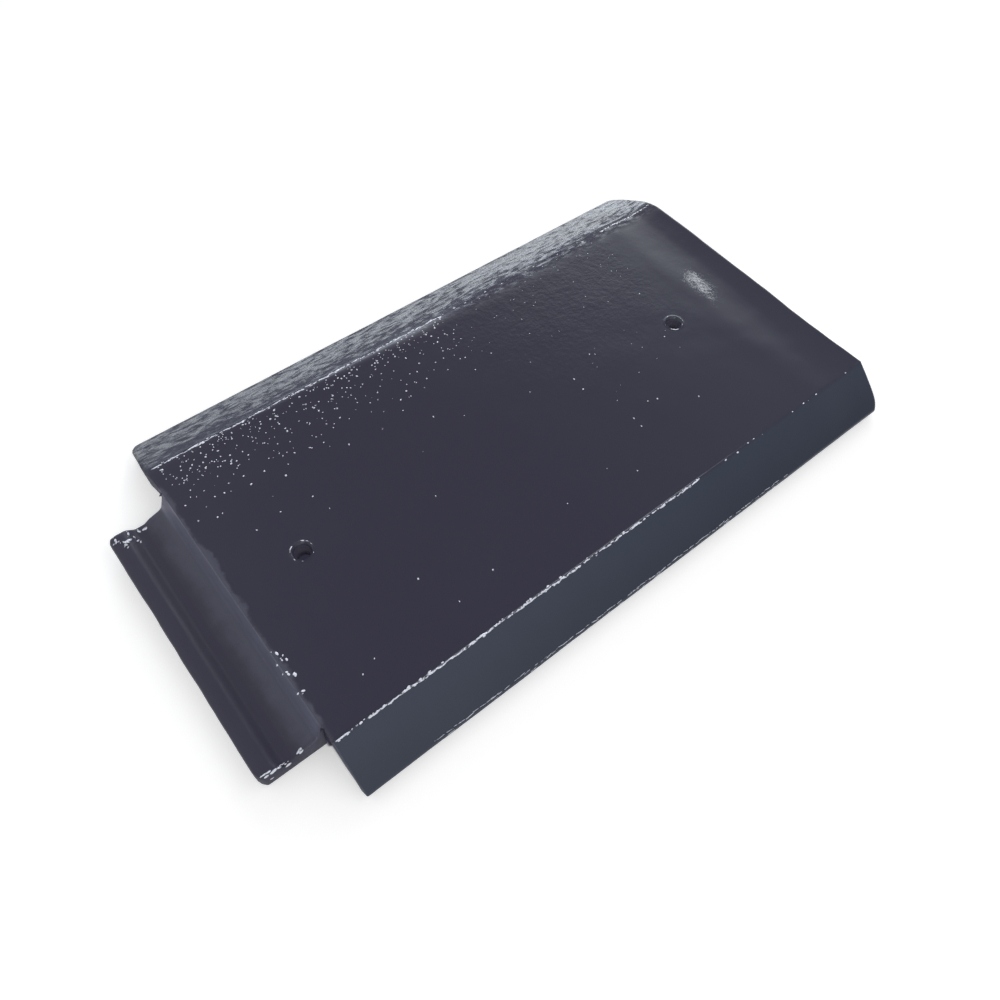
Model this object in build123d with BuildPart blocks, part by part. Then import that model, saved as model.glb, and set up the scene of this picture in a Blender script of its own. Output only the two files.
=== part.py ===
"""Glazed clay ridge tile: a flat top with two sloping aprons, a stepped tongue at one end, two nail holes."""

import math
import os

from build123d import *

os.makedirs("parts", exist_ok=True)

# Body, as seen in plan and from the end
top_width = 190.0
body_length = 391.0
near_apron_reach = 25.8
far_apron_reach = 40.2
apron_drop = 22.0
edge_height = 7.0
wall = 11.0

# Tongue that goes under the head of the next tile
tongue_reach = 37.0
tongue_near_inset = 8.0
tongue_far_inset = 17.5
rib_top_drop = 12.7
groove_drop = 16.4
tongue_end_drop = 13.6
tongue_wall = 8.5
riser_run = 7.0
rib_rise_run = 6.5
rib_width = 5.0
nose_run = 3.5

# Head band: the last stretch sweeps up a little and ends in a flat rim
band_length = 34.0
rim_width = 12.0
band_rise = 1.8
band_foot = 4.0

# Nail holes on the centre line, measured from the body's tongue end
nail_radius = 4.0
nail_mouth_radius = 6.5
nail_mouth_angle = 90.0
nail_from_end = (41.5, 318.0)

# Roundings
arris_radius = 3.0
apron_edge_radius = 2.0
apron_foot_radius = 0.7
inner_radius = 6.0
plan_corner_radius = 7.0
plan_small_radius = 2.0
riser_foot_radius = 17.0
under_foot_radius = 7.0
rib_foot_radius = 3.0
rib_radius = 2.0
tongue_nose_radius = 3.0
flat_between_roundings = 0.5

# How far the trimming prism runs past the top
margin = 20.0

# Apron slopes
near_angle = math.atan2(apron_drop, near_apron_reach)
far_angle = math.atan2(apron_drop, far_apron_reach)

# The rounding of an apron's outer edge takes this much off its reach
near_rounding_loss = apron_edge_radius * (math.cos(near_angle) + math.sin(near_angle) - 1)
far_rounding_loss = apron_edge_radius * (math.cos(far_angle) + math.sin(far_angle) - 1)

# Heights above the surface that the tile lies on
top_height = edge_height + apron_drop
hollow_height = top_height - wall
groove_height = top_height - groove_drop
rib_height = top_height - rib_top_drop
tongue_end_height = top_height - tongue_end_drop
tongue_under_height = groove_height - tongue_wall

# Plan positions, with the middle of the whole tile at the origin
overall_length = tongue_reach + body_length
tongue_end_x = -overall_length / 2
body_end_x = tongue_end_x + tongue_reach
head_x = overall_length / 2
middle_y = (far_apron_reach - far_rounding_loss - near_apron_reach + near_rounding_loss) / 2
near_arris_y = -top_width / 2 - middle_y
far_arris_y = top_width / 2 - middle_y
near_edge_y = near_arris_y - near_apron_reach
far_edge_y = far_arris_y + far_apron_reach
centre_line_y = (near_arris_y + far_arris_y) / 2
tongue_near_y = near_arris_y + tongue_near_inset
tongue_far_y = far_arris_y - tongue_far_inset

# Inner corners of the section, and the strips that each apron stands on
near_inner_y = near_arris_y + wall * math.tan(near_angle / 2)
far_inner_y = far_arris_y - wall * math.tan(far_angle / 2)
near_outer_foot_y = near_edge_y + edge_height * math.tan(near_angle)
near_inner_foot_y = near_inner_y - hollow_height / math.tan(near_angle)
far_outer_foot_y = far_edge_y - edge_height * math.tan(far_angle)
far_inner_foot_y = far_inner_y + hollow_height / math.tan(far_angle)

# The tongue's profile: the riser stands at the body, the rib at the tongue's end, the groove lies between
riser_foot_x = body_end_x - riser_run
rib_end_x = tongue_end_x + nose_run
rib_start_x = rib_end_x + rib_width
rib_foot_x = rib_start_x + rib_rise_run

# The cove at the riser's foot is as round as the groove leaves room for
riser_angle = math.atan2(groove_drop, riser_run)
rib_rise_angle = math.atan2(groove_drop - rib_top_drop, rib_rise_run)
cove_room = riser_foot_x - rib_foot_x - rib_foot_radius * math.tan(rib_rise_angle / 2) - flat_between_roundings
cove_radius = min(riser_foot_radius, cove_room / math.tan(riser_angle / 2))

# The underside of the riser keeps the tongue's wall, measured square to the slope
under_shift = tongue_wall * math.tan(riser_angle / 2)
under_foot_x = riser_foot_x + under_shift
under_head_x = under_foot_x + (hollow_height - tongue_under_height) / math.tan(riser_angle)

# The head band's lift fades out on the aprons, this far up from their outer edges
near_band_y = near_edge_y + band_foot * math.cos(near_angle)
near_band_z = edge_height + band_foot * math.sin(near_angle)
far_band_y = far_edge_y - band_foot * math.cos(far_angle)
far_band_z = edge_height + band_foot * math.sin(far_angle)

# Stations of the head band: distance in from the head, and how far the outer faces lift there
band_run = band_length - rim_width
band_steps = 4
band_stations = [
    (band_length - band_run * step / band_steps, band_rise * (step / band_steps) ** 2)
    for step in range(band_steps + 1)
]

# Corners of the body's section, each with its rounding
section_corners = [
    ((near_edge_y, edge_height), apron_edge_radius),
    ((near_arris_y, top_height), arris_radius),
    ((far_arris_y, top_height), arris_radius),
    ((far_edge_y, edge_height), apron_edge_radius),
    ((far_outer_foot_y, 0), apron_foot_radius),
    ((far_inner_foot_y, 0), apron_foot_radius),
    ((far_inner_y, hollow_height), inner_radius),
    ((near_inner_y, hollow_height), inner_radius),
    ((near_inner_foot_y, 0), apron_foot_radius),
    ((near_outer_foot_y, 0), apron_foot_radius),
]

# Corners of the tongue's profile, each with its rounding
tongue_corners = [
    ((under_head_x, top_height), 0),
    ((body_end_x, top_height), 0),
    ((riser_foot_x, groove_height), cove_radius),
    ((rib_foot_x, groove_height), rib_foot_radius),
    ((rib_start_x, rib_height), rib_radius),
    ((rib_end_x, rib_height), rib_radius),
    ((tongue_end_x, tongue_end_height), tongue_nose_radius),
    ((tongue_end_x, tongue_under_height), tongue_nose_radius),
    ((under_foot_x, tongue_under_height), under_foot_radius),
    ((under_head_x, hollow_height), 0),
]

# Corners of the plan outline, each with its rounding
plan_corners = [
    ((head_x, near_edge_y), plan_corner_radius),
    ((head_x, far_edge_y), plan_corner_radius),
    ((body_end_x, far_edge_y), plan_corner_radius),
    ((body_end_x, tongue_far_y), plan_small_radius),
    ((tongue_end_x, tongue_far_y), plan_corner_radius),
    ((tongue_end_x, tongue_near_y), plan_corner_radius),
    ((body_end_x, tongue_near_y), plan_small_radius),
    ((body_end_x, near_edge_y), plan_small_radius),
]

with BuildPart() as ridge_tile:
    # Plain section of the body
    with BuildSketch(Plane.YZ.offset(body_end_x)):
        with BuildLine():
            FilletPolyline(
                [corner for corner, radius in section_corners],
                radius=[radius for corner, radius in section_corners],
                close=True,
            )
        make_face()
    extrude(amount=body_length)

    # Head band, from one lifted section to the next
    for inner_station, outer_station in zip(band_stations, band_stations[1:]):
        for distance, lift in (inner_station, outer_station):
            with BuildSketch(Plane.YZ.offset(head_x - distance)):
                with BuildLine():
                    FilletPolyline(
                        (near_band_y, near_band_z),
                        (near_arris_y - lift * math.tan(near_angle / 2), top_height + lift),
                        (far_arris_y + lift * math.tan(far_angle / 2), top_height + lift),
                        (far_band_y, far_band_z),
                        (far_inner_y, hollow_height + wall / 2),
                        (near_inner_y, hollow_height + wall / 2),
                        radius=[0, arris_radius, arris_radius, 0, 0, 0],
                        close=True,
                    )
                make_face()
        loft(ruled=True)

    # Tongue with its riser, groove and water-bar rib
    with BuildSketch(Plane.XZ.offset(-tongue_far_y)):
        with BuildLine():
            FilletPolyline(
                [corner for corner, radius in tongue_corners],
                radius=[radius for corner, radius in tongue_corners],
                close=True,
            )
        make_face()
    extrude(amount=tongue_far_y - tongue_near_y)

    # Rounded corners in plan
    with BuildSketch(Plane.XY):
        with BuildLine():
            FilletPolyline(
                [corner for corner, radius in plan_corners],
                radius=[radius for corner, radius in plan_corners],
                close=True,
            )
        make_face()
    extrude(amount=top_height + margin, mode=Mode.INTERSECT)

    # Nail holes with a shallow countersunk mouth
    nail_places = [(body_end_x + from_end, centre_line_y, top_height) for from_end in nail_from_end]
    with Locations(*nail_places):
        CounterSinkHole(
            radius=nail_radius,
            counter_sink_radius=nail_mouth_radius,
            counter_sink_angle=nail_mouth_angle,
            depth=wall + margin,
        )

ridge_tile.part.label = "ridge_tile"
export_step(ridge_tile.part, "parts/ridge_tile.step")
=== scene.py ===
"""A glazed clay ridge tile: pressed sheet, folded aprons, stepped tongue, nail holes and a dark glaze."""

import math
import random

import bpy
from bpy.props import FloatProperty, FloatVectorProperty, IntProperty, PointerProperty
from mathutils import Matrix, Vector


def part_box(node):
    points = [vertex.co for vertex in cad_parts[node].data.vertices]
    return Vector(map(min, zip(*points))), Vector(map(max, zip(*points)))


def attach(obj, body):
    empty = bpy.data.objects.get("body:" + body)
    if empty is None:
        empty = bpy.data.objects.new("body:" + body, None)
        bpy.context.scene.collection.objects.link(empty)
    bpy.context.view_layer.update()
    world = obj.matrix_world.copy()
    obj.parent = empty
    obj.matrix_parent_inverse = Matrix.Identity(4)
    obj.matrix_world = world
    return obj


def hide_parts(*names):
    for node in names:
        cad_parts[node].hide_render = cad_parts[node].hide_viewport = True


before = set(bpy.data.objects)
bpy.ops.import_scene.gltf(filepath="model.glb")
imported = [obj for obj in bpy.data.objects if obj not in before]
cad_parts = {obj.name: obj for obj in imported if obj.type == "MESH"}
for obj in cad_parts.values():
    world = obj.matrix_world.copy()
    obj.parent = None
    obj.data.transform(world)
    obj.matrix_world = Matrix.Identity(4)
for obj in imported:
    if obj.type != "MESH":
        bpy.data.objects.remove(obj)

bl_info = {
    "name": "Ridge Tile",
    "version": (1, 0, 0),
    "blender": (4, 5, 0),
    "location": "3D View > Sidebar > Ridge Tile",
    "description": "Models a glazed clay ridge tile over its packed frame",
    "category": "Add Mesh",
}

NODE = "ridge_tile"
BODY = "root"
CAD_LOW, CAD_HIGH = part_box(NODE)
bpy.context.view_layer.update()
MM = 0.001

# Rounding of the frame's apron edges, which shifts its middle a little
FRAME_EDGE = 2 * MM


# Sizes and colours that a user would change


def length(name, description, millimetres):
    """A length property, given in millimetres and kept in metres."""
    return FloatProperty(
        name=name,
        description=description,
        default=millimetres * MM,
        min=0.0,
        unit="LENGTH",
        precision=5,
    )


def colour(name, description, value):
    """A colour property without alpha."""
    return FloatVectorProperty(
        name=name,
        description=description,
        default=value,
        size=3,
        min=0.0,
        max=1.0,
        subtype="COLOR",
    )


def strength(name, description, value):
    """A strength property, which can't be less than nothing."""
    return FloatProperty(name=name, description=description, default=value, min=0.0)


class TileSizes(bpy.types.PropertyGroup):
    """Real sizes of the tile"""

    top_width: length("Top width", "Flat top, from arris to arris", 190.0)
    body_length: length("Body length", "From the tongue end to the head", 391.0)
    near_reach: length("Near apron", "Reach of the near apron in plan", 25.8)
    far_reach: length("Far apron", "Reach of the far apron in plan", 40.2)
    apron_drop: length("Apron drop", "Height that each apron falls", 22.0)
    top_height: length("Top height", "Flat top above the ground", 29.0)
    wall: length("Wall", "Thickness of the clay", 11.0)
    arris: length("Arris radius", "Rounding between top and aprons", 3.0)
    inner: length("Inner radius", "Rounding in the hollow's corners", 4.5)
    apron_edge: length("Apron edge", "Rounding of the aprons' outer edges", 1.9)
    edge: length("End edge", "Rounding of the ends and the tongue", 1.4)
    hidden_edge: length("Hidden edge", "Rounding of the edges underneath", 0.6)
    tongue_reach: length("Tongue", "How far the tongue stands out", 37.0)
    near_inset: length("Near inset", "Near arris to the tongue's near side", 8.0)
    far_inset: length("Far inset", "Far arris to the tongue's far side", 17.5)
    tongue_wall: length("Tongue wall", "Thickness under the groove", 8.5)
    groove_drop: length("Groove", "Depth of the groove below the top", 16.4)
    rib_drop: length("Rib", "Depth of the rib below the top", 12.7)
    nose_drop: length("Nose", "Depth of the tongue's end below the top", 13.6)
    corner: length("Corner radius", "Rounded corners in plan", 7.0)
    notch_corner: length("Near notch corner", "Near apron's corner at the tongue end", 2.0)
    nose_corner: length("Far nose corner", "Tongue's far corner in plan", 3.0)
    nail_radius: length("Nail hole", "Radius of each nail hole", 4.0)
    tongue_nail: length("Tongue nail", "First hole from the tongue end", 41.5)
    head_nail: length("Head nail", "Second hole from the tongue end", 318.0)
    trough: length("Trough", "Depth of the shallow trough across the head", 0.9)
    rim: length("Rim", "How far the head's edge rises again", 1.7)
    rim_reach: length("Rim reach", "Where the rim begins, in from the head", 19.0)
    slow_wave: length("Slow wave", "Broad unevenness of the upper side", 0.30)
    quick_wave: length("Quick wave", "Fine unevenness of the upper side", 0.10)
    notch_bulge: length("Notch bulge", "How far the body's end stands out in the far notch", 1.6)
    head_dip: length("Head dip", "How far the head's edge dips in", 1.7)
    cell: length("Cell", "Spacing of the mesh", 2.3)
    seed: IntProperty(name="Seed", description="Places the glaze beads", default=7, min=0)


class GlazeLook(bpy.types.PropertyGroup):
    """Colours of the glaze, with its painted light, glints and reflections"""

    deep: colour("Deep glaze", "Thick glaze on the flat top", (0.029, 0.025, 0.048))
    # Thin glaze: a paler tone, used as painted reflection towards the head and on the far apron
    thin: colour("Thin glaze", "Where the glaze has run thin", (0.037, 0.041, 0.063))
    # Silvery runs: painted glare on the far apron
    painted_glare: colour("Silvery runs", "Pale runs on the far apron", (0.10, 0.112, 0.135))
    # Near apron glaze: a painted sky reflection on the near apron
    near: colour("Near apron glaze", "On the near apron", (0.026, 0.032, 0.055))
    # Riser glaze: painted light, the pale band where the tongue leaves the top
    riser: colour("Riser glaze", "Palest, where the tongue leaves the top", (0.064, 0.065, 0.096))
    # Bore: painted light on the nail holes' inner walls
    bore: colour("Bore", "Dusty inside of the nail holes", (0.16, 0.15, 0.21))
    # Bead: painted glints, the pale colour that the beads carry as highlights
    bead: colour("Bead", "Pale frozen beads and burst bubbles", (0.80, 0.83, 0.93))
    sheen: colour("Sheen", "Tint of the reflections", (0.86, 0.93, 1.0))


class StageLook(bpy.types.PropertyGroup):
    """Floor with its painted shadow, and light"""

    floor: colour("Floor", "Pale studio floor", (0.86, 0.86, 0.86))
    # Shade: the glow of the floor's painted shadow under the tile
    shade: colour("Shade", "Glow of the floor that lies under the tile", (0.075, 0.072, 0.118))
    glow: strength("Glow", "How brightly the floor shows to the eye", 0.37)
    overhead: strength("Overhead", "Even light all round", 0.42)
    window: strength("Window", "Low window beyond the head", 2.3)
    horizon: strength("Horizon", "Bright band low beyond the far apron", 3.8)
    horizon_tint: colour("Horizon tint", "Colour of the bright band", (0.80, 0.90, 1.0))
    fill: strength("Fill", "Fill light on the near side", 0.45)
    tongue_fill: strength("Tongue fill", "Fill light past the tongue", 0.32)


# Hand tools: selecting by place, shaping, modifiers

KINDS = {"VERT": "vertices", "EDGE": "edges", "FACE": "polygons"}


def only(obj):
    """Makes one object the sole selected and active one, in object mode."""
    if bpy.context.object and bpy.context.object.mode != "OBJECT":
        bpy.ops.object.mode_set(mode="OBJECT")
    bpy.ops.object.select_all(action="DESELECT")
    obj.select_set(True)
    bpy.context.view_layer.objects.active = obj


def pick(obj, kind, test):
    """Opens edit mode with only the vertices, edges or faces that pass the test selected."""
    only(obj)
    bpy.ops.object.mode_set(mode="EDIT")
    bpy.ops.mesh.select_mode(type=kind)
    bpy.ops.mesh.select_all(action="DESELECT")
    bpy.ops.object.mode_set(mode="OBJECT")
    count = 0
    for item in getattr(obj.data, KINDS[kind]):
        item.select = test(item)
        count += item.select
    if not count:
        raise RuntimeError(f"nothing of {obj.name} passes a test for {kind}")
    bpy.ops.object.mode_set(mode="EDIT")


def ends(obj, edge):
    """The two end points of an edge."""
    return [obj.data.vertices[index].co for index in edge.vertices]


def done(obj):
    """Leaves edit mode."""
    bpy.ops.object.mode_set(mode="OBJECT")
    return obj


def near(value, target, slack=0.05 * MM):
    """Whether two lengths are the same for picking."""
    return abs(value - target) < slack


def smooth(value, start, stop):
    """0 before start, 1 after stop, and an even S in between."""
    share = min(1.0, max(0.0, (value - start) / (stop - start)))
    return share * share * (3.0 - 2.0 * share)


def finish_with(obj, kind, **settings):
    """Adds a modifier, sets it up and applies it."""
    only(obj)
    modifier = obj.modifiers.new(kind.title(), kind)
    for name, value in settings.items():
        setattr(modifier, name, value)
    bpy.ops.object.modifier_apply(modifier=modifier.name)


def weigh(obj, name, weight):
    """A vertex group whose weights come from each vertex's place."""
    group = obj.vertex_groups.new(name=name)
    for vertex in obj.data.vertices:
        amount = weight(vertex.co)
        if amount > 0.0:
            group.add([vertex.index], min(1.0, amount), "REPLACE")
    return group


def push(obj, axis, amount, weight, grain=None, scale=20 * MM):
    """Moves the surface along an axis by the amount times each weight, evenly or with a cloudy grain."""
    only(obj)
    group = weigh(obj, "push", weight)
    settings = {"direction": axis, "strength": amount, "mid_level": 0.0, "vertex_group": group.name}
    if grain:
        texture = bpy.data.textures.new(grain, "CLOUDS")
        texture.noise_scale = scale
        texture.noise_depth = 1
        settings.update(texture=texture, texture_coords="LOCAL", mid_level=0.5)
    finish_with(obj, "DISPLACE", **settings)
    obj.vertex_groups.clear()


def rounded_path(corners, radii, step, stride):
    """Points along a polyline with rounded corners: a step apart on arcs, a stride apart on straights."""
    points = [Vector(corners[0])]
    for before, corner, after, radius in zip(corners, corners[1:], corners[2:], radii):
        corner = Vector(corner)
        back = (Vector(before) - corner).normalized()
        on = (Vector(after) - corner).normalized()
        turn = math.pi - back.angle(on)
        reach = radius * math.tan(turn / 2)
        centre = corner + (back + on).normalized() * radius / math.cos(turn / 2)
        spoke = corner + back * reach - centre
        way = math.copysign(turn, on.cross(back))
        pieces = max(2, math.ceil(radius * turn / step))
        for index in range(pieces + 1):
            spin = Matrix.Rotation(way * index / pieces, 2)
            points.append(centre + spin @ spoke)
    points.append(Vector(corners[-1]))
    path = [points[0]]
    for point in points[1:]:
        start = path[-1]
        pieces = max(1, math.ceil((point - start).length / stride - 0.01))
        path.extend(start.lerp(point, (index + 1) / pieces) for index in range(pieces))
    return path


# Shader maths


class Wire:
    """A node socket that can be used in Python expressions."""

    def __init__(self, nodes, socket):
        self.nodes = nodes
        self.socket = socket

    def _math(self, operation, *values):
        return self.nodes.node("ShaderNodeMath", {"operation": operation}, dict(enumerate(values)))

    def __add__(self, other):
        return self._math("ADD", self, other)

    def __radd__(self, other):
        return self._math("ADD", other, self)

    def __sub__(self, other):
        return self._math("SUBTRACT", self, other)

    def __rsub__(self, other):
        return self._math("SUBTRACT", other, self)

    def __mul__(self, other):
        return self._math("MULTIPLY", self, other)

    def __rmul__(self, other):
        return self._math("MULTIPLY", other, self)

    def __truediv__(self, other):
        return self._math("DIVIDE", self, other)

    def __rtruediv__(self, other):
        return self._math("DIVIDE", other, self)

    def __pow__(self, other):
        return self._math("POWER", self, other)

    def step(self, start, stop):
        """0 at start, 1 at stop, smooth in between; start may be the larger."""
        settings = {"interpolation_type": "SMOOTHSTEP", "clamp": True}
        return self.nodes.node("ShaderNodeMapRange", settings, {0: self, 1: start, 2: stop, 3: 0.0, 4: 1.0})

    def most(self, other):
        return self._math("MAXIMUM", self, other)

    def least(self, other):
        return self._math("MINIMUM", self, other)


class Nodes:
    """Builds one tree of nodes."""

    def __init__(self, tree):
        self.tree = tree

    def node(self, kind, settings, values, output=0):
        """Adds a node: settings first, then values or wires by socket; returns one of its outputs."""
        made = self.tree.nodes.new(kind)
        for name, value in settings.items():
            setattr(made, name, value)
        for key, value in values.items():
            self.feed(made.inputs[key], value)
        return Wire(self, made.outputs[output])

    def feed(self, socket, value):
        """Links a wire to a socket, or sets its value."""
        if isinstance(value, Wire):
            self.tree.links.new(value.socket, socket)
        else:
            socket.default_value = value

    def blend(self, share, first, second):
        """Mixes two colours."""
        first, second = ((*c, 1.0) if isinstance(c, tuple) else c for c in (first, second))
        return self.node("ShaderNodeMix", {"data_type": "RGBA"}, {0: share, 6: first, 7: second}, 2)


class Paint(Nodes):
    """Builds one material."""

    def __init__(self, name):
        self.material = bpy.data.materials.new(name)
        self.material.use_nodes = True
        super().__init__(self.material.node_tree)
        self.shader = self.tree.nodes["Principled BSDF"]
        self.place = self.node("ShaderNodeTexCoord", {}, {}, "Object")
        split = {0: self.place}
        self.x, self.y, self.z = (self.node("ShaderNodeSeparateXYZ", {}, split, axis) for axis in range(3))

    def noise(self, scale, detail=2.0, rough=0.5, stretch=(1, 1, 1), shift=(0, 0, 0)):
        """Noise from 0 to 1 over the piece, with so many features to the metre."""
        place = self.place
        if stretch != (1, 1, 1) or shift != (0, 0, 0):
            place = self.node("ShaderNodeMapping", {}, {0: place, 1: shift, 3: stretch})
        values = {0: place, "Scale": scale, "Detail": detail, "Roughness": rough}
        return self.node("ShaderNodeTexNoise", {}, values)

    def bump(self, height, distance):
        """A bump of so many metres for a height from 0 to 1."""
        return self.node("ShaderNodeBump", {}, {"Height": height, "Distance": distance, "Strength": 1.0})

    def finish(self, **values):
        """Feeds the shader's sockets, whose names have underscores for spaces here."""
        for name, value in values.items():
            self.feed(self.shader.inputs[name.replace("_", " ")], value)
        return self.material

    def dull(self, share, base):
        """Mixes a dull skin of the same colour over the shader."""
        settings = {"Base Color": base, "Roughness": 0.75, "Specular IOR Level": 0.1}
        skin = self.node("ShaderNodeBsdfPrincipled", {}, settings)
        gloss = Wire(self, self.shader.outputs[0])
        mixed = self.node("ShaderNodeMixShader", {}, {0: share, 1: gloss, 2: skin})
        self.feed(self.tree.nodes["Material Output"].inputs["Surface"], mixed)


# The tile


class Lines:
    """Lines and heights of the tile that several steps share, in the frame's place."""

    def __init__(self, sizes):
        self.head = CAD_HIGH.x
        self.nose = CAD_LOW.x
        self.end = self.nose + sizes.tongue_reach
        self.near_angle = math.atan2(sizes.apron_drop, sizes.near_reach)
        self.far_angle = math.atan2(sizes.apron_drop, sizes.far_reach)
        losses = [FRAME_EDGE * (math.cos(a) + math.sin(a) - 1) for a in (self.near_angle, self.far_angle)]
        middle = (sizes.far_reach - losses[1] - sizes.near_reach + losses[0]) / 2
        self.near_arris = -sizes.top_width / 2 - middle
        self.far_arris = sizes.top_width / 2 - middle
        self.near_edge = self.near_arris - sizes.near_reach
        self.far_edge = self.far_arris + sizes.far_reach
        self.centre = (self.near_arris + self.far_arris) / 2
        self.tongue_near = self.near_arris + sizes.near_inset
        self.tongue_far = self.far_arris - sizes.far_inset
        self.near_inner = self.near_arris + sizes.wall * math.tan(self.near_angle / 2)
        self.far_inner = self.far_arris - sizes.wall * math.tan(self.far_angle / 2)
        self.top = sizes.top_height
        self.shelf = self.top - sizes.groove_drop
        self.holes = [self.end + sizes.tongue_nail, self.end + sizes.head_nail]

    def depth(self, point):
        """How far a point lies under the folded sheet, or under the tongue's groove."""
        if point.x < self.end - 0.3 * MM:
            return max(0.0, self.shelf - 2 * MM - point.z) * 10
        fall = max(0.0, self.near_arris - point.y) * math.tan(self.near_angle)
        fall += max(0.0, point.y - self.far_arris) * math.tan(self.far_angle)
        return abs(self.top - point.z - fall)


def lay_sheet(sizes, lines):
    """The top skin: a flat grid whose aprons are folded down about the arrises."""
    near_length = math.hypot(sizes.near_reach, sizes.apron_drop)
    far_length = math.hypot(sizes.far_reach, sizes.apron_drop)
    near_cells, top_cells, far_cells = (
        round(span / sizes.cell) for span in (near_length, sizes.top_width, far_length)
    )
    across = near_cells + top_cells + far_cells
    along = round(sizes.body_length / sizes.cell)
    step = sizes.top_width / top_cells
    width = across * step
    start = lines.near_arris - near_cells * step
    bpy.ops.mesh.primitive_grid_add(
        x_subdivisions=along,
        y_subdivisions=across,
        size=1.0,
        location=((lines.end + lines.head) / 2, start + width / 2, lines.top),
    )
    tile = bpy.context.object
    tile.name = tile.data.name = "glazed_tile"
    tile.scale = (sizes.body_length, width, 1.0)
    bpy.ops.object.transform_apply(location=True, rotation=True, scale=True)

    # One row of the grid moves to the tongue's far side
    rows = sorted({round(v.co.y, 6) for v in tile.data.vertices}, key=lambda y: abs(y - lines.tongue_far))
    pick(tile, "VERT", lambda v: near(v.co.y, rows[0]))
    bpy.ops.transform.translate(value=(0, lines.tongue_far - rows[0], 0))

    # Each apron is brought to its length and folded about its arris
    for side, arris, angle, span, cells in (
        (-1, lines.near_arris, lines.near_angle, near_length, near_cells),
        (1, lines.far_arris, lines.far_angle, far_length, far_cells),
    ):
        pick(tile, "VERT", lambda v: side * (v.co.y - arris) > 0.5 * MM)
        pivot = (0, arris, lines.top)
        bpy.ops.transform.resize(value=(1, span / (cells * step), 1), center_override=pivot)
        fold(side, angle, pivot)
    return done(tile)


def fold(side, angle, pivot):
    """Turns the selected apron down about its arris."""
    bpy.ops.transform.rotate(
        value=side * angle, orient_axis="X", orient_type="GLOBAL", center_override=pivot
    )


def draw_tongue(tile, sizes, lines):
    """Extrudes the tongue from the end of the flat top: riser, shelf, groove, rib and nose."""
    groove, rib, nose = sizes.groove_drop, sizes.rib_drop, sizes.nose_drop

    # The profile, out and down from the end of the flat top, and the rounding of each corner between
    corners = [
        (0, 0),
        (-4.4 * MM, -11.4 * MM),
        (-12.6 * MM, -14.0 * MM),
        (-16.4 * MM, -groove),
        (-22.4 * MM, -groove),
        (-28.0 * MM, -rib),
        (-33.5 * MM, -rib),
        (-sizes.tongue_reach, -nose),
    ]
    radii = [radius * MM for radius in (5.0, 6.0, 5.0, 4.0, 3.0, 4.0)]
    path = rounded_path(corners, radii, 1.2 * MM, 3.2 * MM)

    def on_end(point):
        across = lines.tongue_near - 0.1 * MM < point.y < lines.tongue_far + 0.1 * MM
        return near(point.x, lines.end) and across

    pick(tile, "EDGE", lambda e: all(on_end(p) for p in ends(tile, e)))
    for here, there in zip(path, path[1:]):
        bpy.ops.mesh.extrude_region_move(
            TRANSFORM_OT_translate={"value": (there.x - here.x, 0, there.y - here.y)}
        )
    done(tile)


def is_tongue(point, lines):
    """Whether a point belongs to the tongue."""
    return point.x < lines.end - 0.3 * MM


def thicken(tile, sizes, lines):
    """Gives the skin its wall; the tongue is flat underneath and steps up into the hollow."""
    skin = len(tile.data.vertices)
    weigh(tile, "wall", lambda p: 0.0 if is_tongue(p, lines) else 1.0)
    finish_with(
        tile,
        "SOLIDIFY",
        thickness=sizes.wall,
        offset=-1.0,
        use_even_offset=True,
        vertex_group="wall",
        thickness_vertex_group=0.1,
    )
    tile.vertex_groups.clear()

    under = lines.shelf - sizes.tongue_wall
    pick(tile, "VERT", lambda v: v.index >= skin and is_tongue(v.co, lines))
    bpy.ops.transform.resize(value=(1, 1, 0), center_override=(0, 0, under))
    done(tile)

    # The rows of the step, each known by how far its skin vertex lies inside the body's end
    inside = {v.index + skin: v.co.x - lines.end for v in tile.data.vertices if v.index < skin}

    def in_step(vertex, start, stop):
        across = lines.tongue_near - 0.5 * MM < vertex.co.y < lines.tongue_far + 0.5 * MM
        return vertex.index >= skin and across and start < inside[vertex.index] < stop

    pick(tile, "VERT", lambda v: in_step(v, 1 * MM, 8 * MM))
    bpy.ops.transform.resize(value=(0.45, 1, 1), center_override=(lines.end + 8.5 * MM, 0, 0))
    done(tile)
    pick(tile, "VERT", lambda v: in_step(v, -0.1 * MM, 0.1 * MM))
    bpy.ops.transform.resize(value=(0, 1, 1), center_override=(lines.end + 3.9 * MM, 0, 0))
    done(tile)


def round_bends(tile, sizes, lines):
    """Rounds the arrises and the hollow's inner corners."""
    bends = (
        (lines.near_arris, sizes.arris, lines.near_angle),
        (lines.far_arris, sizes.arris, lines.far_angle),
        (lines.near_inner, sizes.inner, lines.near_angle),
        (lines.far_inner, sizes.inner, lines.far_angle),
    )

    def width(edge):
        points = ends(tile, edge)
        if any(is_tongue(point, lines) for point in points):
            return 0.0
        for y, radius, angle in bends:
            if all(near(p.y, y, 0.2 * MM) for p in points) and not near(points[0].x, points[1].x):
                return radius * math.tan(angle / 2)
        return 0.0

    round_edges(tile, width, 4)


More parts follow.
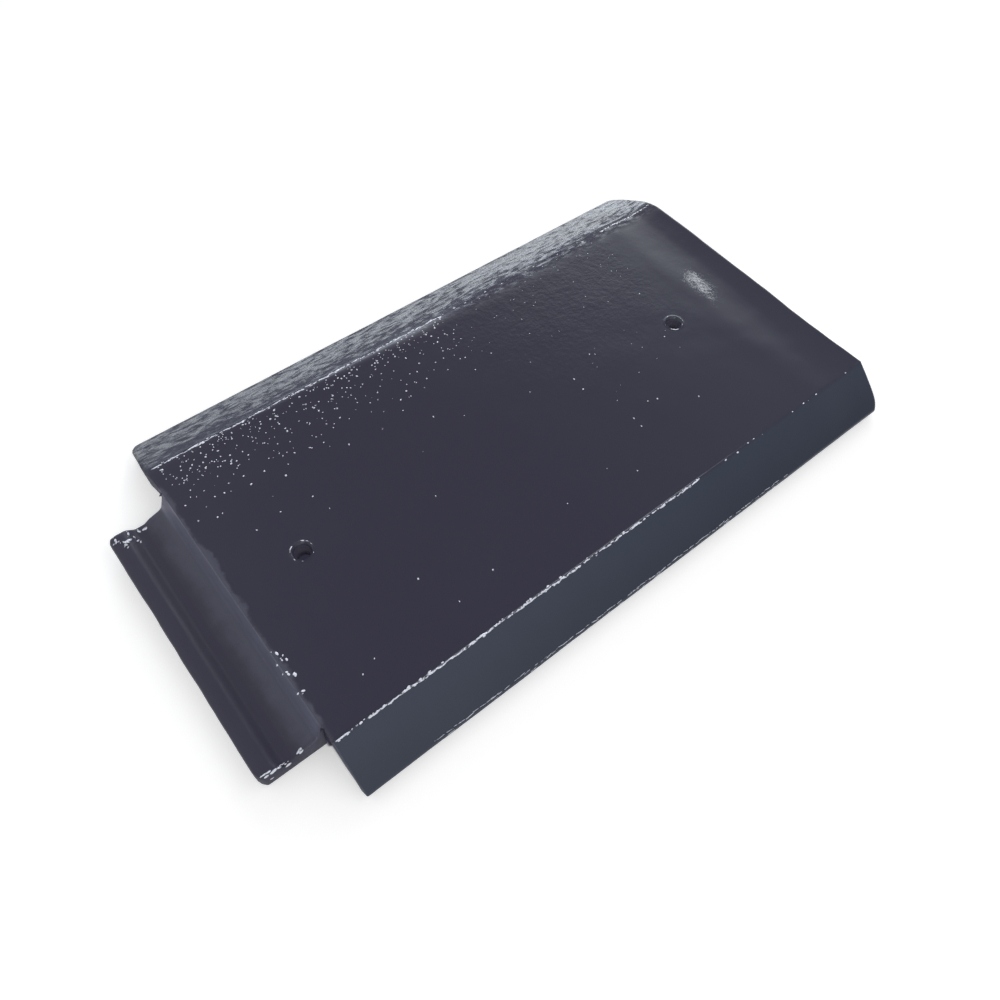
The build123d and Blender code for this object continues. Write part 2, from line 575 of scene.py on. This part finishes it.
def round_pressed_edges(tile, sizes, lines):
    """Rounds the pressed edges, with the hidden ones left crisper."""

    def at_tongue_corner(point):
        across = min(abs(point.y - lines.tongue_near), abs(point.y - lines.tongue_far))
        return near(point.x, lines.end, 1 * MM) and across < 0.1 * MM

    def on_apron_edge(point):
        return point.y < lines.near_edge + 0.1 * MM or point.y > lines.far_edge - 0.1 * MM

    def width(edge):
        points = ends(tile, edge)
        if not edge.select or all(at_tongue_corner(point) for point in points):
            return 0.0
        if any(lines.depth(point) > 2 * MM for point in points):
            return sizes.hidden_edge
        past_end = max(lines.end - point.x for point in points)
        if past_end > 0.1 * MM:
            return max(0.0, min(sizes.edge, 0.4 * (past_end - 1.6 * MM)))
        return sizes.apron_edge if all(on_apron_edge(point) for point in points) else sizes.edge

    pick_sharp(tile)
    round_edges(tile, width, 3)

    # The two corners where the tongue leaves the body are pressed flat
    pick(tile, "VERT", lambda v: v.co.z > lines.top + 0.5 * MM)
    bpy.ops.transform.resize(value=(1, 1, 0), center_override=(0, 0, lines.top - 2 * MM))
    done(tile)


def cut_feet(tile):
    """Cuts the strips that the tile stands on level with the ground."""
    pick(tile, "FACE", lambda f: True)
    bpy.ops.mesh.bisect(
        plane_co=(0, 0, 0), plane_no=(0, 0, -1), clear_outer=True, use_fill=True, threshold=1e-7
    )
    done(tile)


def round_edges(obj, width_of, segments):
    """Bevels every edge by its own width."""
    widths = [width_of(edge) for edge in obj.data.edges]
    widest = max(widths)
    share = obj.data.attributes.new("bevel_weight_edge", "FLOAT", "EDGE")
    share.data.foreach_set("value", [width / widest for width in widths])
    finish_with(
        obj, "BEVEL", limit_method="WEIGHT", width=widest, segments=segments, use_clamp_overlap=False
    )
    obj.data.attributes.remove(obj.data.attributes["bevel_weight_edge"])


def pick_sharp(obj, angle=50):
    """Selects the edges that are folded by more than the angle, in object mode."""
    only(obj)
    bpy.ops.object.mode_set(mode="EDIT")
    bpy.ops.mesh.select_mode(type="EDGE")
    bpy.ops.mesh.select_all(action="DESELECT")
    bpy.ops.mesh.edges_select_sharp(sharpness=math.radians(angle))
    bpy.ops.object.mode_set(mode="OBJECT")


def shape_outline(tile, sizes, lines):
    """Rounds the corners in plan, fading down into the straight ends."""

    def corner(point, edge_y, side, end_x, way, radius):
        inwards = max(0.0, side * (edge_y - point.y))
        if inwards >= radius:
            return 0.0
        shift = radius - math.sqrt(radius**2 - (radius - inwards) ** 2)
        return shift / radius * smooth(way * point.x, way * end_x - 24 * MM, way * end_x - 1 * MM)

    for edge_y, side, end_x, way, radius in (
        (lines.near_edge, -1, lines.head, 1, sizes.corner),
        (lines.far_edge, 1, lines.head, 1, sizes.corner),
        (lines.far_edge, 1, lines.end, -1, sizes.corner),
        (lines.near_edge, -1, lines.end, -1, sizes.notch_corner),
    ):
        push(
            tile,
            "X",
            -way * radius,
            lambda p: 0.0 if is_tongue(p, lines) else corner(p, edge_y, side, end_x, way, radius),
        )
    for edge_y, side, radius in (
        (lines.tongue_near, -1, sizes.corner),
        (lines.tongue_far, 1, sizes.nose_corner),
    ):
        push(
            tile,
            "X",
            radius,
            lambda p: corner(p, edge_y, side, lines.nose, -1, radius) if is_tongue(p, lines) else 0.0,
        )


def press_head(tile, sizes, lines):
    """The shallow trough across the head and the rim that rises from it."""

    def above_feet(point):
        return smooth(point.z, 8 * MM, 14 * MM)

    def trough(point):
        return above_feet(point) * smooth(point.x, lines.head - 47 * MM, lines.head - 22 * MM)

    def rim(point):
        rise = max(0.0, 1.0 - (lines.head - point.x) / sizes.rim_reach)
        return above_feet(point) * rise**1.4

    push(tile, "Z", -sizes.trough, trough)
    push(tile, "Z", sizes.rim, rim)


def open_round(tile, middle, radius):
    """Turns the block of cells about a point into one round face, left selected in edit mode."""

    def in_block(face):
        gap = face.center - middle
        return abs(gap.z) < 0.5 * MM and abs(gap.x) < 6.1 * MM and abs(gap.y) < 6.1 * MM

    pick(tile, "FACE", in_block)
    bpy.ops.mesh.dissolve_faces()
    bpy.ops.transform.tosphere(value=1.0)
    done(tile)
    face = next(f for f in tile.data.polygons if f.select)
    ring = [tile.data.vertices[index].co for index in face.vertices]
    found = sum(ring, Vector()) / len(ring)
    now = sum((point - found).length for point in ring) / len(ring)
    bpy.ops.object.mode_set(mode="EDIT")
    bpy.ops.transform.resize(value=(radius / now, radius / now, 1), center_override=found)
    bpy.ops.transform.translate(value=(middle.x - found.x, middle.y - found.y, 0))


def drill(tile, sizes, lines):
    """Nail holes: a round face on each side, the upper one stepped down to the bore, then bridged."""
    # The lip from its rim to the bore, each step inwards and up in millimetres
    lip = ((0.5, 0.0), (0.6, 0.28), (0.5, 0.04), (0.5, -0.4), (0.6, -0.85), (0.45, -0.95), (0.25, -0.9))
    lip_radius = sizes.nail_radius + sum(inwards for inwards, rise in lip) * MM
    for hole_x in lines.holes:
        open_round(tile, Vector((hole_x, lines.centre, lines.top)), lip_radius)
        for inwards, rise in lip:
            bpy.ops.mesh.inset(thickness=inwards * MM, depth=rise * MM)
        done(tile)
        open_round(tile, Vector((hole_x, lines.centre, lines.top - sizes.wall)), sizes.nail_radius)
        done(tile)

        def is_cap(face):
            gap = face.center - Vector((hole_x, lines.centre, face.center.z))
            return gap.length < 0.5 * MM and len(face.vertices) > 8

        pick(tile, "FACE", is_cap)
        bpy.ops.mesh.delete(type="ONLY_FACE")
        done(tile)

        def on_bore(point):
            out = math.hypot(point.x - hole_x, point.y - lines.centre)
            return near(out, sizes.nail_radius, 0.3 * MM)

        pick(tile, "EDGE", lambda e: all(on_bore(p) for p in ends(tile, e)))
        bpy.ops.mesh.bridge_edge_loops()
        done(tile)


def on_upper_side(point, lines):
    """1 on the upper side, fading to 0 through the wall."""
    return 1.0 - smooth(lines.depth(point), 2.5 * MM, 6 * MM)


def soften_far_arris(tile, sizes, lines):
    """Presses the far arris down into a rounder bend, widest at the head half."""
    crisp = sizes.arris * math.tan(lines.far_angle / 2)
    most = 2 * MM

    def bend(out, reach):
        return max(0.0, out) if abs(out) >= reach else (out + reach) ** 2 / (4 * reach)

    def drop(point):
        if is_tongue(point, lines):
            return 0.0
        reach = (4 + 8 * smooth(point.x, -70 * MM, 70 * MM)) * MM
        out = point.y - lines.far_arris
        lost = math.tan(lines.far_angle) * (bend(out, reach) - bend(out, crisp))
        return lost / most * on_upper_side(point, lines)

    push(tile, "Z", -most, drop)


def fired_waves(tile, sizes, lines):
    """Slight unevenness of the upper side from pressing and firing."""

    def clear_of_holes(point):
        gaps = (math.hypot(point.x - x, point.y - lines.centre) for x in lines.holes)
        return on_upper_side(point, lines) * smooth(min(gaps), 7 * MM, 12 * MM)

    push(tile, "NORMAL", sizes.slow_wave, clear_of_holes, "slow_wave", 30 * MM)
    push(tile, "NORMAL", sizes.quick_wave, clear_of_holes, "quick_wave", 9 * MM)


def wander_edges(tile, sizes, lines):
    """Lets the pressed edges wander, then keeps everything inside the frame's box."""

    def at_end(point, reach):
        return 0.0 if is_tongue(point, lines) else smooth(-point.x, -lines.end - reach, -lines.end - 1 * MM)

    def at_head(point, reach):
        return smooth(point.x, lines.head - reach, lines.head)

    def at_nose(point, reach):
        return smooth(-point.x, -lines.nose - reach, -lines.nose)

    def in_far_notch(point):
        across = smooth(point.y, lines.tongue_far, lines.far_arris)
        return at_end(point, 9 * MM) * across * smooth(-point.y, -lines.far_edge, -lines.far_arris)

    def in_head_dip(point):
        off = (point.y + 60 * MM) / (34 * MM)
        return at_head(point, 14 * MM) * math.exp(-(off**2))

    push(tile, "X", 1.1 * MM, lambda p: at_end(p, 5 * MM), "end_wave", 16 * MM)
    push(tile, "X", -sizes.notch_bulge, in_far_notch)
    push(tile, "X", 0.9 * MM, lambda p: at_head(p, 8 * MM), "head_wave", 24 * MM)
    push(tile, "X", -sizes.head_dip, in_head_dip)
    push(tile, "X", 1.0 * MM, lambda p: at_nose(p, 6 * MM), "nose_wave", 18 * MM)

    # Everything is kept inside the frame's box
    push(tile, "X", -0.35 * MM, lambda p: at_head(p, 20 * MM))
    push(tile, "X", 0.35 * MM, lambda p: at_nose(p, 20 * MM))
    push(tile, "Y", -0.3 * MM, lambda p: smooth(p.y, lines.far_edge - 12 * MM, lines.far_edge))
    push(tile, "Y", 0.3 * MM, lambda p: smooth(-p.y, -lines.near_edge - 12 * MM, -lines.near_edge))


def bead_places(sizes, lines):
    """Where the glaze beads sit, each painted pale as a glint: place in plan, then length, width and height
    in millimetres, and turn.
    """
    chance = random.Random(sizes.seed)
    places = []

    def add(x, y, longest, slim, turn=None):
        """One bead, and how slim it is for its length; without a turn it lies any way."""
        width = longest * slim * chance.uniform(0.75, 1.0)
        height = 0.30 * width * chance.uniform(0.7, 1.2)
        angle = chance.uniform(0, math.pi) if turn is None else turn + chance.uniform(-0.15, 0.15)
        places.append((x, y, longest, width, height, angle))

    def add_beside(x, line_y, off, span, slim):
        """One bead that lies along a line and off it; the ranges off and span are in millimetres."""
        add(x, line_y + chance.uniform(*off) * MM, chance.uniform(*span), slim, 0.0)

    # Along the near arris: a painted highlight line of pale beads, close, that breaks up towards the head
    x = lines.end + 3 * MM
    while x < lines.head - 6 * MM:
        share = (x - lines.end) / (lines.head - lines.end)
        if share < 0.62:
            if not 0.02 < share < 0.045:
                add_beside(x, lines.near_arris, (-0.3, -0.8), (2.8, 6.0), 0.22)
            if chance.random() < 0.6:
                add_beside(x, lines.near_arris, (-1.1, 0.5), (0.9, 2.4), 0.55)
            x += chance.uniform(1.8, 3.6) * MM
        else:
            if chance.random() < 0.5:
                add_beside(x, lines.near_arris, (-0.9, 0.2), (0.8, 1.8), 0.6)
            x += chance.uniform(3.5, 10.0) * MM

    # Along the far arris, painted highlights: dense at the tongue half and at the head, scattered between
    x = lines.end + 4 * MM
    while x < lines.head - 4 * MM:
        share = (x - lines.end) / (lines.head - lines.end)
        dense = share < 0.52 or share > 0.87
        if dense:
            add_beside(x, lines.far_arris, (-0.5, 0.6), (2.4, 5.5), 0.22)
        if chance.random() < (0.75 if dense else 0.1):
            add_beside(x, lines.far_arris, (-1.2, 1.2), (0.9, 2.6), 0.55)
        x += chance.uniform(1.8, 3.6) * MM

    # Painted glints on the flat top, thickest beside the far arris at the tongue half
    for _ in range(390):
        x = lines.end + 6 * MM + chance.random() ** 1.15 * 195 * MM
        y = lines.far_arris - 2 * MM - abs(chance.gauss(0, 18)) * MM
        add(x, y, chance.uniform(0.45, 1.0) + 0.8 * chance.random() ** 4, 0.85)
    for _ in range(70):
        x = lines.end + chance.uniform(190, 330) * MM
        y = lines.far_arris - 2 * MM - abs(chance.gauss(0, 24)) * MM
        add(x, y, chance.uniform(0.4, 0.9), 0.7)
    for _ in range(16):
        x = lines.holes[1] - chance.uniform(8, 80) * MM
        y = lines.centre + chance.uniform(-38, 16) * MM
        add(x, y, chance.uniform(0.4, 0.9), 0.6)
    for _ in range(46):
        x = chance.uniform(lines.end + 8 * MM, lines.head - 60 * MM)
        y = chance.uniform(lines.near_arris + 6 * MM, lines.far_arris - 6 * MM)
        add(x, y, chance.uniform(0.6, 1.35), 0.85)

    # Clots, painted pale as glints, at the tongue's two sides and on the edge above the riser
    for _ in range(22):
        size = 0.9 + 3.4 * chance.random() ** 2
        x = lines.nose + chance.uniform(1.5, 22) * MM
        y = lines.tongue_far - chance.uniform(1, 12) * MM
        add(x, y, size, 0.45)
    for _ in range(24):
        x = lines.nose + chance.uniform(3, 24) * MM
        add_beside(x, lines.tongue_near, (0.8, 3.4), (1.0, 3.6), 0.4)
    for _ in range(16):
        y = lines.tongue_near + chance.uniform(18, 48) * MM
        x = lines.end + chance.uniform(-1.0, 4.5) * MM
        add(x, y, chance.uniform(0.7, 2.6), 0.7)

    # A broken double line of painted highlights along the near apron's lower edge
    x = lines.end + 42 * MM
    while x < lines.end + 305 * MM:
        if chance.random() < 0.85:
            add_beside(x, lines.near_edge, (1.9, 2.3), (3.5, 7.0), 0.06)
        if chance.random() < 0.6:
            add_beside(x, lines.near_edge, (0.9, 1.3), (3.0, 6.0), 0.06)
        x += chance.uniform(2.6, 5.0) * MM

    # Crumbs and short arcs round the nail holes' lips, painted glints: direction in degrees, then length
    arcs = (
        ((38, 2.6), (55, 2.8), (126, 2.6), (142, 2.6), (8, 1.3), (-45, 1.0), (-160, 1.5), (-118, 1.0)),
        ((-152, 2.4), (-134, 2.8), (-114, 2.6), (88, 1.5), (-20, 0.9), (165, 1.0)),
    )
    for hole_x, arc in zip(lines.holes, arcs):
        for degrees, longest in arc:
            angle = math.radians(degrees)
            place = Vector((math.cos(angle), math.sin(angle))) * 6.2 * MM
            add(hole_x + place.x, lines.centre + place.y, longest, 0.28, angle + math.pi / 2)
    return places


def bead(tile, sizes, lines):
    """Frozen glaze beads, painted pale as glints: one dome is modelled, then copied to its places and
    joined to the tile.
    """
    bpy.ops.object.select_all(action="DESELECT")
    bpy.ops.mesh.primitive_uv_sphere_add(segments=8, ring_count=5, radius=0.5 * MM, location=(0, 0, 0))
    dome = bpy.context.object
    bpy.ops.object.mode_set(mode="EDIT")
    bpy.ops.mesh.select_all(action="SELECT")
    bpy.ops.mesh.bisect(plane_co=(0, 0, -0.15 * MM), plane_no=(0, 0, -1), clear_outer=True, use_fill=True)
    bpy.ops.object.mode_set(mode="OBJECT")
    bpy.ops.object.shade_smooth()
    # The domes take the second material, the painted glints
    for material in tile.data.materials:
        dome.data.materials.append(material)
    for face in dome.data.polygons:
        face.material_index = 1

    # A ray from above finds the surface; a bead that would lie on the ground or the feet is left out
    copies = []
    for x, y, longest, width, height, angle in bead_places(sizes, lines):
        hit, place, normal, _ = tile.ray_cast(Vector((x, y, 0.1)), Vector((0, 0, -1)))
        if not hit or place.z < 3 * MM:
            continue
        copy = dome.copy()
        copy.data = dome.data.copy()
        bpy.context.scene.collection.objects.link(copy)
        stand = Vector((0, 0, 1)).rotation_difference(normal).to_matrix().to_4x4()
        size = Matrix.Diagonal((longest, width, 2 * height, 1))
        copy.matrix_world = Matrix.Translation(place) @ stand @ Matrix.Rotation(angle, 4, "Z") @ size
        copies.append(copy)
    bpy.data.objects.remove(dome)
    only(tile)
    for copy in copies:
        copy.select_set(True)
    bpy.ops.object.join()


def make_painted_glint_glaze(look):
    """Painted glints: the beads painted pale as highlights, some of them left dark at random."""
    paint = Paint("bead_glaze")
    patchy = paint.noise(480.0, 1.0, 0.5).step(0.30, 0.50)
    base = paint.blend(patchy, tuple(look.thin), tuple(look.bead))
    return paint.finish(Base_Color=base, Roughness=0.18, IOR=1.52)


def make_glaze(look, lines):
    """Dark glossy glaze with orange peel, with painted light on the riser and in the bores, painted
    reflection towards the head and on the near apron, and painted glare streaks on the far apron.
    """
    paint = Paint("dark_glaze")
    x, y = paint.x, paint.y

    # Zones, and which way the surface faces
    outwards = paint.node("ShaderNodeNewGeometry", {}, {}, "Normal")
    facing = paint.node("ShaderNodeSeparateXYZ", {}, {0: outwards}, 2)
    clouds = paint.noise(22.0, 3.0, 0.55)
    fine = paint.noise(420.0, 2.0, 0.5)
    upper = facing.step(-0.1, 0.1)
    apron_far = y.step(lines.far_arris - 1 * MM, lines.far_arris + 4 * MM) * upper
    apron_near = y.step(lines.near_arris + 1 * MM, lines.near_arris - 2 * MM) * upper
    headward = x.step(-0.02, 0.17)

    # Painted reflection: the glaze is painted paler towards the head and on the far apron, with a random
    # cloudy variation, and the near apron has its own painted sky reflection, palest at its top
    thin = (apron_far * 0.7).most(headward * 0.5) + (clouds - 0.5) * 0.35
    base = paint.blend(thin.most(0.0).least(1.0), tuple(look.deep), tuple(look.thin))
    # The near apron's tones and their fade are a painted sky reflection, palest at the top
    near_tones = [tuple(c * share for c in look.near) for share in (0.82, 1.3)]
    below = (lines.near_arris - y) / (lines.near_arris - lines.near_edge)
    fade = (below.step(1.0, 0.0) * 0.7 + clouds * 0.6 - 0.15).most(0.0).least(1.0)
    base = paint.blend(apron_near, base, paint.blend(fade, *near_tones))

    # Painted light on the riser: a pale band with a ragged upper border, and paler still on its steeper
    # faces
    ragged = x + (paint.noise(60.0, 4.0, 0.6, shift=(1, 2, 0)) - 0.5) * 0.012
    riser = ragged.step(lines.end + 3.2 * MM, lines.end + 1.0 * MM)
    riser = riser * ragged.step(lines.end - 17 * MM, lines.end - 6 * MM)
    riser = riser * y.step(lines.tongue_near - 1 * MM, lines.tongue_near + 5 * MM)
    riser = riser * y.step(lines.tongue_far + 5 * MM, lines.tongue_far + 1 * MM)
    marks = paint.noise(110.0, 4.0, 0.65, stretch=(1, 0.3, 1))
    base = paint.blend(riser * (0.35 + marks * 1.3).least(1.0), base, tuple(look.riser))
    steep_painted_light = tuple(min(1.0, c * 1.7) for c in look.riser)
    base = paint.blend(riser * facing.step(0.80, 0.50) * (0.5 + marks).least(1.0), base, steep_painted_light)

    # Bores: painted light on their walls, paler with depth
    mouth_tone = tuple(c * 0.7 for c in look.riser)
    for hole_x in lines.holes:
        out = ((x - hole_x) ** 2 + (y - lines.centre) ** 2) ** 0.5
        wall = paint.blend(paint.z.step(29 * MM, 22 * MM), mouth_tone, tuple(look.bore))
        base = paint.blend(out.step(5.3 * MM, 4.2 * MM), base, wall)

    # Painted glare on the far apron: pale streaks along the runs, palest half way down it and towards the
    # head
    runs = paint.noise(320.0, 4.0, 0.7, stretch=(0.38, 1, 1))
    drift = paint.noise(60.0, 3.0, 0.55, stretch=(0.35, 1, 1))
    down = (y - lines.far_arris) / (lines.far_edge - lines.far_arris)
    painted_glare = apron_far * down.step(0.2, 0.65) * runs.step(0.32, 0.74) * drift.step(0.15, 0.65)
    base = paint.blend(painted_glare * (0.45 + headward * 0.55), base, tuple(look.painted_glare))

    # Between the runs the far apron and its bend have lost their gloss
    shade = 1.12 - headward * 0.36 - down.step(-0.1, 0.65) * 0.75 + down.step(0.82, 1.0) * 0.35
    bend = y.step(lines.far_arris - 13 * MM, lines.far_arris - 3 * MM) * x.step(-0.03, 0.06) * upper
    lost = (shade + (0.5 - runs) * 5.8 + (0.5 - drift) * 0.9).most(0.0).least(0.92)
    paint.dull(lost * apron_far.most(bend), base)

    # Orange peel on a slow swell, strongest past the middle and calmer in the head band
    peel = paint.noise(330.0, 3.0, 0.55)
    swell = paint.noise(60.0, 2.0, 0.5, shift=(3, 1, 0))
    ripple = y.step(-0.05, 0.05) * x.step(-0.03, 0.07) * (1 - x.step(0.145, 0.165) * 0.8)
    on_tongue = x.step(lines.end + 1 * MM, lines.end - 1 * MM)
    peel_share = 0.12 + ripple * 2.0 + apron_far * 0.6 + on_tongue * 0.3
    height = peel * peel_share + (runs * 6.0 + drift * 6.0) * apron_far + swell * 0.5

    # Glossiest at the head, duller on the far apron and the tongue, and dull on steep faces
    rough = 0.10 - x.step(0.150, 0.170) * 0.05 + fine * 0.05
    rough = rough + apron_far * (0.03 + drift * 0.14) + on_tongue * (0.10 + marks * 0.40)
    return paint.finish(
        Base_Color=base,
        Roughness=rough.most(facing.step(0.55, 0.30) * 0.7),
        Normal=paint.bump(height, 0.09 * MM),
        IOR=1.52,
        Specular_Tint=(*look.sheen, 1.0),
    )


class MakeTile(bpy.types.Operator):
    """Model the ridge tile and glaze it"""

    bl_idname = "mesh.ridge_tile_body"
    bl_label = "Ridge tile"

    def execute(self, context):
        sizes = context.scene.ridge_tile_sizes
        lines = Lines(sizes)
        bpy.ops.object.select_all(action="DESELECT")
        tile = lay_sheet(sizes, lines)
        draw_tongue(tile, sizes, lines)
        thicken(tile, sizes, lines)
        round_bends(tile, sizes, lines)
        round_pressed_edges(tile, sizes, lines)
        cut_feet(tile)
        drill(tile, sizes, lines)
        shape_outline(tile, sizes, lines)
        press_head(tile, sizes, lines)
        soften_far_arris(tile, sizes, lines)
        fired_waves(tile, sizes, lines)
        wander_edges(tile, sizes, lines)
        only(tile)
        bpy.ops.object.shade_smooth_by_angle(angle=math.radians(40))
        look = context.scene.ridge_tile_glaze
        tile.data.materials.append(make_glaze(look, lines))
        tile.data.materials.append(make_painted_glint_glaze(look))
        bead(tile, sizes, lines)
        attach(tile, BODY)
        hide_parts(NODE)
        return {"FINISHED"}


# Floor, light and camera

# Each lamp: name, place, the point that it faces, width and height, and radiance
LAMPS = (
    ("arris_strip", (0.37, -0.48, 1.03), (0.0, -0.1, 0.03), (1.0, 0.22), 3.0),
    ("streak", (1.025, 0.485, 0.724), (0.184, 0.017, 0.03), (0.06, 0.012), 15.0),
    ("key", (-1.1, -1.0, 1.3), (0, 0, 0), (0.9, 0.9), 1.2),
)

# The camera: place in metres, turn in degrees, lens and sensor in millimetres
CAMERA_PLACE = (-0.19391, -0.22673, 0.41149)
CAMERA_TURN = (32.3317, -1.9971, -38.4751)
CAMERA_LENS = 29.549
CAMERA_SENSOR = 36.0

# The floor's painted shadow under the tile: where it starts and where it is full, on each side, in metres
UNDER_HEAD = (0.210, 0.198)
UNDER_END = (-0.1775, -0.1755)
UNDER_FAR_APRON = (0.121, 0.118)
UNDER_NEAR_APRON = (-0.1215, -0.1185)

# Past the tongue's near side the painted shadow reaches out a little further
BESIDE_TONGUE = (-0.0947, -0.0930)
NEAR_HALF = (0.0, -0.05)
FURTHER_OUT = 0.0015


def area_lamp(name, place, target, size, radiance):
    """A soft rectangular lamp that faces the target; size is its width and height."""
    light = bpy.data.lights.new(name, "AREA")
    light.shape = "RECTANGLE"
    light.size, light.size_y = size
    light.energy = radiance * math.pi * size[0] * size[1]
    lamp = bpy.data.objects.new(name, light)
    bpy.context.scene.collection.objects.link(lamp)
    way = Vector(target) - Vector(place)
    lamp.matrix_world = Matrix.Translation(place) @ way.to_track_quat("-Z", "Y").to_matrix().to_4x4()


def light_world(look):
    """A soft studio all round: even light, a window low beyond the head, a bright band and fills."""
    world = bpy.data.worlds.new("studio")
    bpy.context.scene.world = world
    world.use_nodes = True
    nodes = Nodes(world.node_tree)
    place = nodes.node("ShaderNodeTexCoord", {}, {}, "Generated")
    camera = nodes.node("ShaderNodeLightPath", {}, {}, "Is Camera Ray")
    white = (1.0, 1.0, 1.0)
    light = (look.overhead,) * 3

    # Each soft patch of light: its direction, where it starts and is full, its brightness and its tint
    for axis, start, full, brightness, tint in (
        ((0.62, 0.62, 0.12), 0.75, 1.05, look.window, white),
        ((0.38, 0.92, 0.02), 0.84, 0.99, look.horizon, look.horizon_tint),
        ((-0.25, -0.90, 0.45), 0.60, 1.00, look.fill, white),
        ((-0.60, 0.50, 0.55), 0.60, 1.00, look.tongue_fill, white),
    ):
        values = {0: place, 1: Vector(axis).normalized()}
        facing = nodes.node("ShaderNodeVectorMath", {"operation": "DOT_PRODUCT"}, values, "Value")
        values = {0: facing.step(start, full) * brightness, 1: tint, 2: light}
        light = nodes.node("ShaderNodeVectorMath", {"operation": "MULTIPLY_ADD"}, values)
    nodes.feed(world.node_tree.nodes["Background"].inputs["Color"], nodes.blend(camera, light, white))


def lay_floor(look):
    """A pale floor that glows white to the eye, with a painted shadow where the tile covers it."""
    bpy.ops.mesh.primitive_plane_add(size=8.0, location=(0, 0, 0))
    floor = bpy.context.object
    floor.name = "studio_floor"
    paint = Paint("studio_floor")
    x, y = paint.x, paint.y
    # The patch under the tile is a painted shadow, in the floor's colour and in its glow
    start = x + y.step(*BESIDE_TONGUE) * y.step(*NEAR_HALF) * FURTHER_OUT
    under = x.step(*UNDER_HEAD) * start.step(*UNDER_END)
    under = under * y.step(*UNDER_FAR_APRON) * y.step(*UNDER_NEAR_APRON)
    glow = paint.blend(under, (1.0, 1.0, 1.0), tuple(look.shade))
    camera, gloss, clear = (
        paint.node("ShaderNodeLightPath", {}, {}, f"Is {ray} Ray")
        for ray in ("Camera", "Glossy", "Transmission")
    )
    paint.finish(
        Base_Color=paint.blend(under, tuple(look.floor), (0.02, 0.02, 0.03)),
        Roughness=1.0,
        Specular_IOR_Level=0.0,
        Emission_Color=paint.blend(camera.most(gloss).most(clear), (0.0, 0.0, 0.0), glow),
        Emission_Strength=look.glow,
    )
    floor.data.materials.append(paint.material)


def set_camera():
    """The camera, with colours shown as they are."""
    camera = bpy.data.objects.new("camera", bpy.data.cameras.new("camera"))
    bpy.context.scene.collection.objects.link(camera)
    camera.location = CAMERA_PLACE
    camera.rotation_euler = [math.radians(angle) for angle in CAMERA_TURN]
    camera.data.lens = CAMERA_LENS
    camera.data.sensor_width = CAMERA_SENSOR
    camera.data.clip_start = 0.01
    bpy.context.scene.camera = camera
    bpy.context.scene.view_settings.view_transform = "Standard"


class MakeStage(bpy.types.Operator):
    """Set the floor, the lamps, the world and the camera"""

    bl_idname = "scene.ridge_tile_stage"
    bl_label = "Stage"

    def execute(self, context):
        look = context.scene.ridge_tile_stage
        bpy.ops.object.select_all(action="DESELECT")
        lay_floor(look)
        light_world(look)
        for lamp in LAMPS:
            area_lamp(*lamp)
        set_camera()
        return {"FINISHED"}


class TilePanel(bpy.types.Panel):
    """Lists the operators and sizes"""

    bl_idname = "VIEW3D_PT_ridge_tile"
    bl_label = "Ridge Tile"
    bl_space_type = "VIEW_3D"
    bl_region_type = "UI"
    bl_category = "Ridge Tile"

    def draw(self, context):
        for group in ("ridge_tile_sizes", "ridge_tile_glaze", "ridge_tile_stage"):
            box = self.layout.box()
            settings = getattr(context.scene, group)
            for name in settings.bl_rna.properties.keys():
                if name not in ("rna_type", "name"):
                    box.prop(settings, name)
        self.layout.operator(MakeTile.bl_idname)
        self.layout.operator(MakeStage.bl_idname)


GROUPS = {
    "ridge_tile_sizes": TileSizes,
    "ridge_tile_glaze": GlazeLook,
    "ridge_tile_stage": StageLook,
}
CLASSES = (*GROUPS.values(), MakeTile, MakeStage, TilePanel)


def register():
    for each in CLASSES:
        bpy.utils.register_class(each)
    for name, group in GROUPS.items():
        setattr(bpy.types.Scene, name, PointerProperty(type=group))


def unregister():
    for name in GROUPS:
        delattr(bpy.types.Scene, name)
    for each in reversed(CLASSES):
        bpy.utils.unregister_class(each)


def main():
    register()
    bpy.ops.mesh.ridge_tile_body()
    bpy.ops.scene.ridge_tile_stage()


if __name__ == "__main__":
    main()
